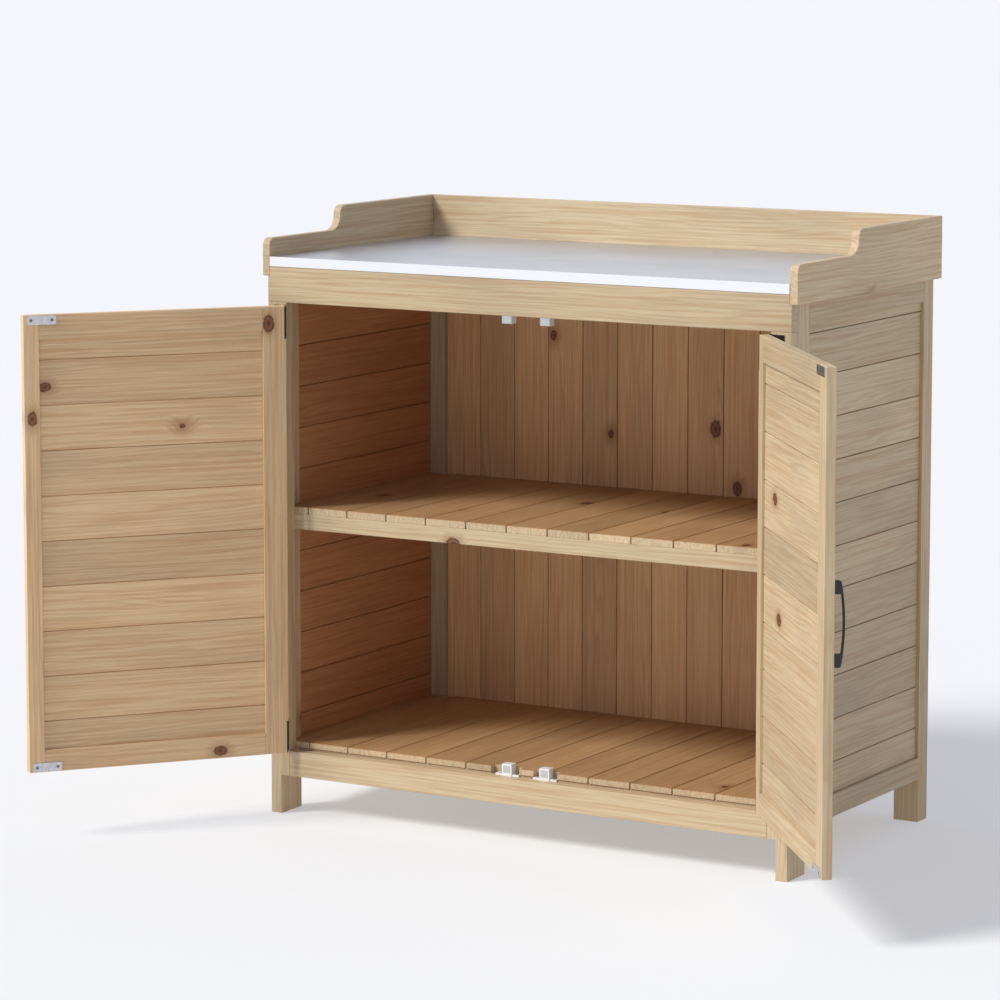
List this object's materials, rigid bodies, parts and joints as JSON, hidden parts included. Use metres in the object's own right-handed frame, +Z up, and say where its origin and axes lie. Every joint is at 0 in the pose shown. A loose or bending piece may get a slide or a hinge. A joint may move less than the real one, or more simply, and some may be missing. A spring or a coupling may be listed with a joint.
{
  "type": "potting bench",
  "caption": "Wooden potting bench: a metal-topped tray with raised back and stepped sides over a boarded cupboard with hinged doors, a slatted shelf and magnetic catches.",
  "frame": {"origin": "on the floor under the middle of the carcass, with the doors left out", "axes": "+Z up, -Y out of the front, +X to the right seen from the front"},
  "size_m": [1.4584, 0.8885, 1],
  "materials": {
    "softwood": "planed knotty fir, oiled",
    "galvanised_sheet": "galvanised, satin",
    "black_steel": "black powder coat",
    "zinc_steel": "bright zinc plate",
    "white_plastic": "moulded",
    "magnet_steel": "bright nickel plate"
  },
  "bodies": {
    "carcass": {"back_boards": "softwood", "back_bottom_rail": "softwood", "back_top_rail": "softwood", "catch_housings": "white_plastic", "catch_magnets": "magnet_steel", "catch_screws": "zinc_steel", "deck_panel": "softwood", "floor_front_cleat": "softwood", "floor_rear_cleat": "softwood", "floor_side_cleats": "softwood", "floor_slats": "softwood", "front_bottom_rail": "softwood", "front_top_rail": "softwood", "hinge_pins": "black_steel", "left_front_post": "softwood", "left_front_stile": "softwood", "left_rear_post": "softwood", "left_side_boards": "softwood", "left_side_bottom_rail": "softwood", "left_side_top_rail": "softwood", "left_tray_side": "softwood", "post_hinge_leaves": "black_steel", "post_hinge_screws": "black_steel", "right_front_post": "softwood", "right_front_stile": "softwood", "right_rear_post": "softwood", "right_side_boards": "softwood", "right_side_bottom_rail": "softwood", "right_side_top_rail": "softwood", "right_tray_side": "softwood", "shelf_front_rail": "softwood", "shelf_rear_rail": "softwood", "shelf_side_cleats": "softwood", "shelf_slats": "softwood", "top_batten": "softwood", "tray_back": "softwood", "tray_rear_cleat": "softwood", "tray_side_cleats": "softwood", "worktop_sheet": "galvanised_sheet"},
    "left_door": {"left_door_boards": "softwood", "left_door_bottom_rail": "softwood", "left_door_handle": "black_steel", "left_door_handle_studs": "black_steel", "left_door_hinge_leaves": "black_steel", "left_door_hinge_stile": "softwood", "left_door_lock_stile": "softwood", "left_door_screws": "zinc_steel", "left_door_strike_plates": "zinc_steel", "left_door_top_rail": "softwood"},
    "right_door": {"right_door_boards": "softwood", "right_door_bottom_rail": "softwood", "right_door_handle": "black_steel", "right_door_handle_studs": "black_steel", "right_door_hinge_leaves": "black_steel", "right_door_hinge_stile": "softwood", "right_door_lock_stile": "softwood", "right_door_screws": "zinc_steel", "right_door_strike_plates": "zinc_steel", "right_door_top_rail": "softwood"}
  },
  "joints": [
    {"name": "left_door_hinge", "type": "hinge", "parent": "carcass", "child": "left_door", "pos_m": [-0.4455, -0.26, 0.48025], "axis": [0, 0, -1], "range_deg": [-128, 47]},
    {"name": "right_door_hinge", "type": "hinge", "parent": "carcass", "child": "right_door", "pos_m": [0.4455, -0.26, 0.48025], "axis": [0, 0, 1], "range_deg": [-129.5, 45.5]}
  ]
}
